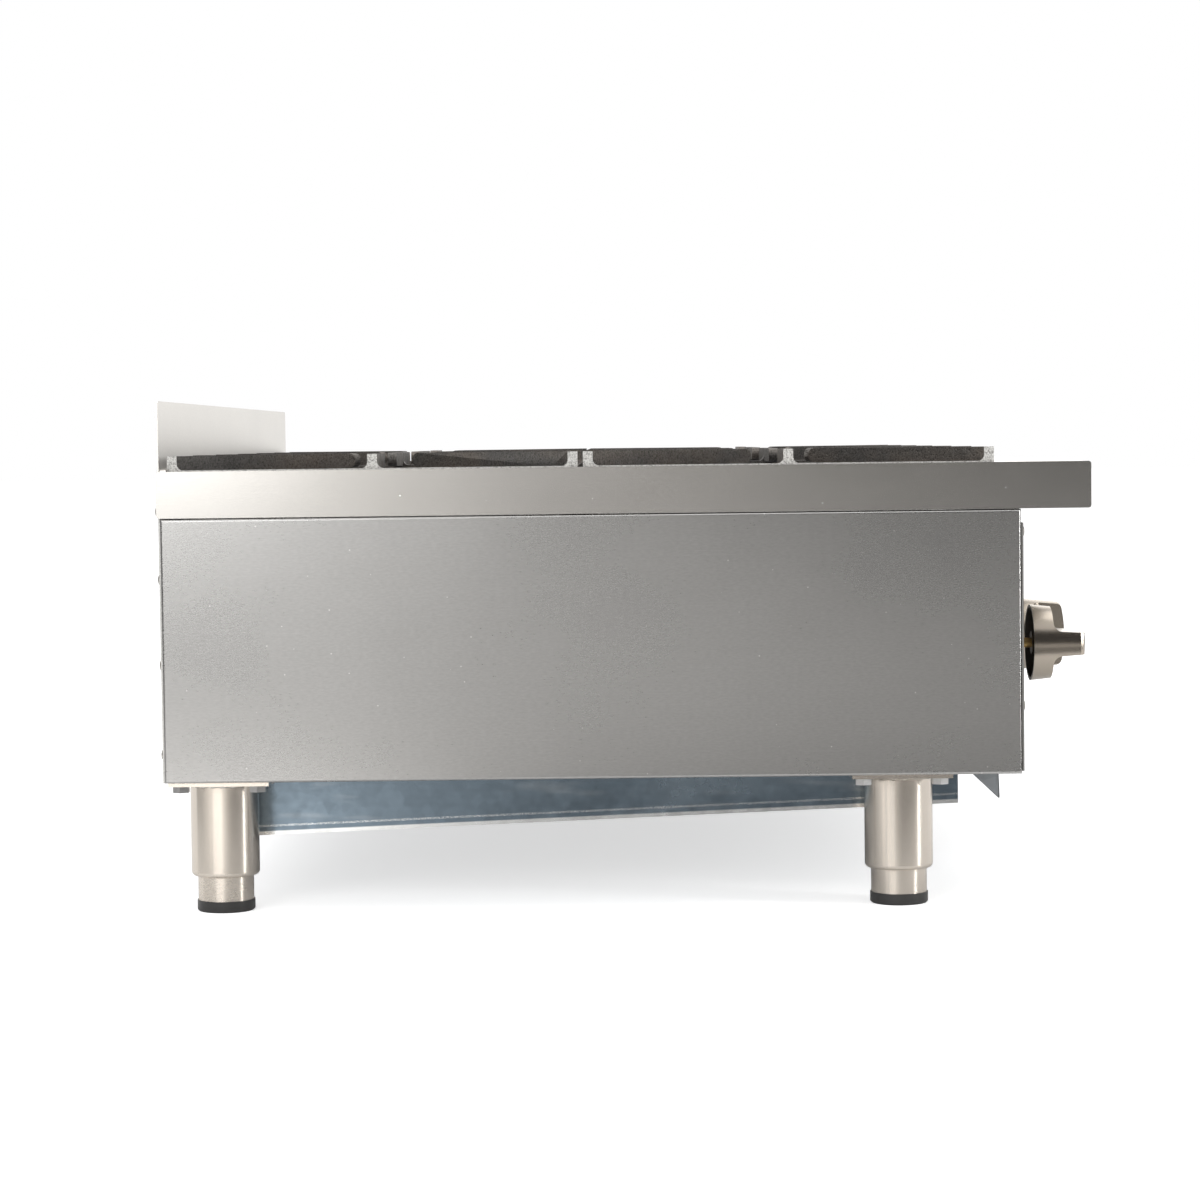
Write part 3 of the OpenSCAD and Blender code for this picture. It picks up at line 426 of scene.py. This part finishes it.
def lathe(bm, profile, steps, matrix):
    """A closed body turned about the matrix's Z, from (radius, height) points whose ends lie on the axis."""
    rings = []
    for radius, height in profile:
        angles = [2 * math.pi * i / steps for i in range(steps)] if radius else [0]
        rings.append([bm.verts.new(matrix @ Vector((radius * math.cos(a), radius * math.sin(a), height)))
                      for a in angles])
    for a, b in zip(rings, rings[1:]):
        for i in range(steps):
            j = (i + 1) % steps
            if len(a) == 1:
                bm.faces.new((a[0], b[i], b[j]))
            elif len(b) == 1:
                bm.faces.new((a[i], a[j], b[0]))
            else:
                bm.faces.new((a[i], a[j], b[j], b[i]))


def box_mesh(bm, low, high, matrix):
    corners = [bm.verts.new(matrix @ Vector((x, y, z)))
               for x in (low[0], high[0]) for y in (low[1], high[1]) for z in (low[2], high[2])]
    for f in ((0, 1, 3, 2), (4, 6, 7, 5), (0, 4, 5, 1), (2, 3, 7, 6), (0, 2, 6, 4), (1, 5, 7, 3)):
        bm.faces.new([corners[i] for i in f])


def plate(bm, corners, thick, matrix):
    """A flat plate from its corners, with its thickness as a vector."""
    a = [bm.verts.new(matrix @ Vector(c)) for c in corners]
    b = [bm.verts.new(matrix @ (Vector(c) + Vector(thick))) for c in corners]
    bm.faces.new(a)
    bm.faces.new(b[::-1])
    for i in range(len(a)):
        j = (i + 1) % len(a)
        bm.faces.new((a[i], b[i], b[j], a[j]))


# Panel screws: domed heads with a cross recess, in the places of the plain ones. The places are shares of
# the side panels' height and of half the width, or distances from the body's side and the rail's lower
# edge. Each screw's recess is turned further than the last one's, by so many radians
FRONT_SCREW_SHARES = (0.255, 0.915)
REAR_SCREW_SHARES = (0.105, 0.445, 0.77)
RAIL_SCREW_SHARE = 0.36
SCREW_INSET = 0.012
RAIL_SCREW_RISE = 0.005
RECESS_TURN = 0.7
SHANK = [(0, -0.009), (0.0015, -0.009), (0.002, -0.0082), (0.002, -0.0001)]
DOME = [(0.0021, -0.0001), (0.0037, 0.0), (0.004, 0.0003), (0.004, 0.0009), (0.0037, 0.00145),
        (0.0031, 0.00185), (0.0022, 0.0021), (0.0011, 0.0022), (0, 0.0022)]
RECESS_LOW, RECESS_HIGH = (-0.0019, -0.00035, 0.0011), (0.0019, 0.00035, 0.0030)


def screw_places():
    """The X, Y and Z of each screw's seat, and the way along Y that its head looks."""
    panel_low, panel_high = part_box("side_panel_left")
    rail_low, rail_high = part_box("top_frame")
    y_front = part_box("control_panel")[0].y
    y_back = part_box("back_panel")[1].y
    panel_height = panel_high.z - panel_low.z
    outer = rail_high.x - SCREW_INSET
    places = []
    for side in (-1, 1):
        for share in FRONT_SCREW_SHARES:
            places.append((side * outer, y_front, panel_low.z + share * panel_height, -1))
        for share in REAR_SCREW_SHARES:
            places.append((side * outer, y_back, panel_low.z + share * panel_height, 1))
        for x in (RAIL_SCREW_SHARE * rail_high.x, outer):
            places.append((side * x, rail_high.y, rail_low.z + RAIL_SCREW_RISE, 1))
    return places


def panel_screws():
    heads, recesses = bmesh.new(), bmesh.new()
    for n, (x, y, z, out) in enumerate(screw_places()):
        seat = Matrix.Translation((x, y, z)) @ Matrix.Rotation(math.radians(-90 * out), 4, "X")
        seat = seat @ Matrix.Rotation(RECESS_TURN * n, 4, "Z")
        lathe(heads, SHANK + DOME, steps=32, matrix=seat)
        for turn in (0, math.pi / 2):
            box_mesh(recesses, RECESS_LOW, RECESS_HIGH, seat @ Matrix.Rotation(turn, 4, "Z"))
    screws = new_object("panel_screw_heads", heads, screw_steel)
    cutter = new_object("recess_cutter", recesses, screw_steel, smooth=False)
    cut = screws.modifiers.new("cut", "BOOLEAN")
    cut.object = cutter
    cut.solver = "EXACT"
    cut.use_self = True
    bpy.context.view_layer.update()
    shaped = bpy.data.meshes.new_from_object(screws.evaluated_get(bpy.context.evaluated_depsgraph_get()))
    screws.modifiers.clear()
    screws.data = shaped
    bpy.data.objects.remove(cutter)
    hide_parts("panel_screws")
    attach(screws, "hotplate")


# Weld beads where the leg tubes meet their mounting plates, with ripples and a slower sway round each.
# The drop is from the plate's upper face to the middle of the bead
BEAD_RADIUS = 0.0262
BEAD_THICKNESS = 0.0021
BEAD_DROP = 0.0035
RIPPLES, RIPPLE_DEPTH = 22, 0.16
SWAYS, SWAY_DEPTH, SWAY_SHIFT = 5, 0.10, 1.3
AROUND, ACROSS = 132, 10


def weld_bead(place, number):
    low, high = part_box("foot_" + place)
    plate_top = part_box("leg_" + place)[1].z
    centre = Vector(((low.x + high.x) / 2, (low.y + high.y) / 2, plate_top - BEAD_DROP))
    bm = bmesh.new()
    grid = []
    for i in range(AROUND):
        a = 2 * math.pi * i / AROUND
        sway = SWAY_DEPTH * math.sin(SWAYS * a + SWAY_SHIFT * number)
        r = BEAD_THICKNESS * (1 + RIPPLE_DEPTH * math.sin(RIPPLES * a) + sway)
        ring = []
        for j in range(ACROSS):
            b = 2 * math.pi * j / ACROSS
            radius = BEAD_RADIUS + r * math.cos(b)
            point = Vector((radius * math.cos(a), radius * math.sin(a), r * math.sin(b)))
            ring.append(bm.verts.new(centre + point))
        grid.append(ring)
    for i in range(AROUND):
        here, there = grid[i], grid[(i + 1) % AROUND]
        for j in range(ACROSS):
            k = (j + 1) % ACROSS
            bm.faces.new((here[j], there[j], there[k], here[k]))
    bead = new_object("weld_bead_" + place, bm, weld_metal)
    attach(bead, "hotplate")


# Drip tray: its pan starts behind the guides' front ends, and a flange reaches forward to a lip with
# mitred ends
SHEET = 0.0012
TRAY_LIP = 0.025
PAN_START = 0.036
PAN_HEIGHT = 0.018
LIP_GAP = 0.0004
FLANGE_GAP = 0.001


def drip_tray():
    low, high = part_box("drip_tray")
    half = high.x
    tilt = math.atan2(GUIDE_FALL, GUIDE_LENGTH)
    end = guide_high.y - low.y
    seat = Matrix.Translation((0, low.y, low.z + end * math.sin(tilt))) @ Matrix.Rotation(-tilt, 4, "X")
    bm = bmesh.new()

    def wide(thick, *section):
        """A plate across the tray, from its two (Y, Z) edges."""
        (y0, z0), (y1, z1) = section
        plate(bm, [(-half, y0, z0), (half, y0, z0), (half, y1, z1), (-half, y1, z1)], thick, seat)

    wide((0, 0, SHEET), (PAN_START, 0), (end, 0))
    wide((0, SHEET, 0), (PAN_START, 0), (PAN_START, TRAY_LIP))
    wide((0, -SHEET, 0), (end, 0), (end, PAN_HEIGHT))
    wide((0, 0, -SHEET), (FLANGE_GAP, TRAY_LIP), (PAN_START + SHEET, TRAY_LIP))
    wide((0, SHEET, 0), (0, LIP_GAP), (0, TRAY_LIP))
    for side in (-1, 1):
        wall = [(PAN_START, 0), (end, 0), (end, PAN_HEIGHT), (PAN_START, PAN_HEIGHT)]
        mitre = [(0, LIP_GAP), (0, TRAY_LIP), (TRAY_LIP, TRAY_LIP)]
        for outline in (wall, mitre):
            plate(bm, [(side * half, y, z) for y, z in outline], (-side * SHEET, 0, 0), seat)
    tray = new_object("drip_tray_pan", bm, zinc_dull, smooth=False)
    bevel(tray, width=0.0003, segments=2, angle=40)
    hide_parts("drip_tray")
    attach(tray, "drip_tray")


panel_screws()
for number, place in enumerate(LEGS):
    weld_bead(place, number)
drip_tray()


# Studio

def area_lamp(name, where, target, size, watts):
    data = bpy.data.lights.new(name, "AREA")
    data.shape = "RECTANGLE"
    data.size, data.size_y = size
    data.energy = watts
    lamp = bpy.data.objects.new(name, data)
    lamp.location = where
    lamp.rotation_euler = (Vector(target) - Vector(where)).to_track_quat("-Z", "Y").to_euler()
    lamp.visible_camera = False
    scene.collection.objects.link(lamp)


def flat_mesh(name, width, depth):
    """One level face about the origin."""
    w, d = width / 2, depth / 2
    mesh = bpy.data.meshes.new(name)
    mesh.from_pydata([(-w, -d, 0), (w, -d, 0), (w, d, 0), (-w, d, 0)], [], [(0, 1, 2, 3)])
    return mesh


def studio_card(name, where, target, size, levels, spin=0):
    """A card outside the picture that only the metal sees, graded across its width.

    levels are (metres from its middle, brightness up to 2), and spin turns the card in its own plane."""
    brightest = 2.0
    tint = (1, 0.985, 0.965)
    mesh = flat_mesh(name, *size)
    look = Look(name, 0.0, 1.0)
    ramp = look.new("ShaderNodeValToRGB")
    across = look.span(look.split(look.coords)[0], -size[0] / 2, size[0] / 2, 0, 1)
    look.link(across, ramp.inputs[0])
    elements = ramp.color_ramp.elements
    while len(elements) < len(levels):
        elements.new(0.5)
    for element, (place, grey) in zip(elements, levels):
        element.position = place / size[0] + 0.5
        element.color = (*(grey / brightest * t for t in tint), 1)
    emission = look.new("ShaderNodeEmission")
    emission.inputs["Strength"].default_value = brightest
    look.link(ramp.outputs[0], emission.inputs["Color"])
    look.link(emission.outputs[0], look.out.inputs["Surface"])
    mesh.materials.append(look.mat)
    card = bpy.data.objects.new(name, mesh)
    card.location = where
    aim = Vector(target) - Vector(where)
    facing = Matrix.Identity(3) if aim.x == aim.y == 0 else aim.to_track_quat("Z", "Y").to_matrix()
    card.rotation_euler = (facing @ Matrix.Rotation(math.radians(spin), 3, "Z")).to_euler()
    scene.collection.objects.link(card)
    card.visible_camera = False
    card.visible_diffuse = False
    card.visible_shadow = False
    card.visible_transmission = False
    card.visible_volume_scatter = False


def background(tree, strength):
    node = tree.nodes.new("ShaderNodeBackground")
    node.inputs["Color"].default_value = (1, 1, 1, 1)
    node.inputs["Strength"].default_value = strength
    return node.outputs[0]


def studio_world(white, soft):
    """White where the camera, a reflection or glass sees it, and soft as light."""
    world = bpy.data.worlds.new("studio")
    world.use_nodes = True
    tree = world.node_tree
    tree.nodes.clear()
    path = tree.nodes.new("ShaderNodeLightPath")
    seen = path.outputs["Is Camera Ray"]
    for ray in ("Is Glossy Ray", "Is Transmission Ray"):
        either = tree.nodes.new("ShaderNodeMath")
        either.operation = "MAXIMUM"
        tree.links.new(seen, either.inputs[0])
        tree.links.new(path.outputs[ray], either.inputs[1])
        seen = either.outputs[0]
    mix = tree.nodes.new("ShaderNodeMixShader")
    tree.links.new(seen, mix.inputs[0])
    tree.links.new(background(tree, soft), mix.inputs[1])
    tree.links.new(background(tree, white), mix.inputs[2])
    out = tree.nodes.new("ShaderNodeOutputWorld")
    tree.links.new(mix.outputs[0], out.inputs["Surface"])
    scene.world = world


def studio_floor():
    """Pale paper that the camera sees a little brighter, so that it meets the white background."""
    size, pale, lift = 60, (0.86, 0.86, 0.86), 0.62
    mesh = flat_mesh("floor", size, size)
    look = Look("floor_paper", 0.0, 0.9)
    look.color(look.scaled(pale, look.span(look.noise(40, 3, 0.6), 0.3, 0.7, 0.985, 1.0)))
    look.shader.inputs["Emission Color"].default_value = (1, 1, 1, 1)
    look.shader.inputs["Specular IOR Level"].default_value = 0.0
    path = look.new("ShaderNodeLightPath")
    glow = look.math("MULTIPLY", path.outputs["Is Camera Ray"], lift)
    look.link(glow, look.shader.inputs["Emission Strength"])
    mesh.materials.append(look.mat)
    floor = bpy.data.objects.new("floor", mesh)
    scene.collection.objects.link(floor)


studio_world(white=1.0, soft=0.66)
area_lamp("softbox_left", where=(-2.3, 0.95, 0.95), target=(-0.2, -0.1, 0.3), size=(1.15, 1.4), watts=15)
area_lamp("softbox_top", where=(0.2, 0.3, 3.4), target=(0, 0, 0.3), size=(4.0, 4.0), watts=68)
area_lamp("strip_front", where=(-0.92, -1.45, 0.55), target=(-0.3, -0.1, 0.25), size=(0.16, 0.9), watts=7)

# The first three cards stand and lie to the left, and their width runs from the front to the rear
studio_card("card_left", where=(-3.4, -0.6, 1.45), target=(0.0, -0.6, 1.45), size=(7.6, 3.0),
            levels=[(-3.8, 0.04), (-0.08, 0.05), (0.15, 0.09), (0.3, 0.17), (0.46, 0.28), (0.63, 0.35),
                    (0.8, 0.46), (0.97, 0.9), (1.14, 0.75), (1.4, 0.35), (2.0, 0.2), (3.8, 0.2)])
studio_card("card_floor", where=(-2.36, -0.6, 0.002), target=(-2.36, -0.6, 1.0), size=(7.6, 2.08),
            levels=[(-3.8, 0.7), (0.08, 0.85), (0.18, 0.9), (0.3, 0.97), (0.42, 1.0), (0.53, 1.08),
                    (0.66, 1.0), (0.76, 0.72), (0.88, 0.45), (1.06, 0.3), (1.52, 0.2), (3.8, 0.2)], spin=90)
studio_card("card_near", where=(-0.98, 0.0, 0.003), target=(-0.98, 0.0, 1.0), size=(2.4, 0.66),
            levels=[(-1.2, 0.3), (-0.17, 0.2), (-0.08, 0.22), (0.05, 0.3), (0.12, 0.5), (0.22, 1.1),
                    (0.32, 1.9), (1.2, 1.6)], spin=90)
studio_card("flag_rear", where=(-0.7, 1.0, 0.7), target=(-0.7, 0.0, 0.7), size=(0.8, 1.5),
            levels=[(-0.4, 0.2), (0.4, 0.2)])
studio_card("card_front", where=(-1.0, -3.6, 1.45), target=(-1.0, 0.0, 1.45), size=(5.6, 3.0),
            levels=[(-2.8, 0.5), (-1.5, 0.4), (-0.5, 0.22), (0.5, 0.1), (2.8, 0.06)])
studio_card("card_right", where=(3.2, 0.0, 1.4), target=(0.0, 0.0, 1.4), size=(5.0, 3.0),
            levels=[(-2.5, 0.95), (0.3, 0.95), (0.6, 1.8), (2.5, 1.8)])
studio_floor()


# Camera: the focal length and the vanishing point of the X axis, which is measured from the picture's
# middle, are in pixels of a picture FRAME_WIDTH wide. The horizon's slope is its rise over its run
FRAME_WIDTH = 1200
FOCAL = 3115.0
VANISH_X, VANISH_Y = 11.0, 159.3
HORIZON_SLOPE = 0.0122
CAMERA_PLACE = (-2.788, 0.0120, 0.3553)
SENSOR_WIDTH = 36

x_axis = Vector((VANISH_X, VANISH_Y, -FOCAL)).normalized()
horizon = Vector((1.0, HORIZON_SLOPE, 0.0)).normalized()
y_axis = -(horizon - horizon.dot(x_axis) * x_axis).normalized()
turn = Matrix((x_axis, y_axis, x_axis.cross(y_axis)))
camera_data = bpy.data.cameras.new("camera")
camera_data.sensor_width = SENSOR_WIDTH
camera_data.lens = FOCAL / FRAME_WIDTH * SENSOR_WIDTH
camera_data.clip_end = 200
camera = bpy.data.objects.new("camera", camera_data)
camera.matrix_world = Matrix.Translation(CAMERA_PLACE) @ turn.to_4x4()
scene.collection.objects.link(camera)
scene.camera = camera
scene.view_settings.view_transform = "Standard"
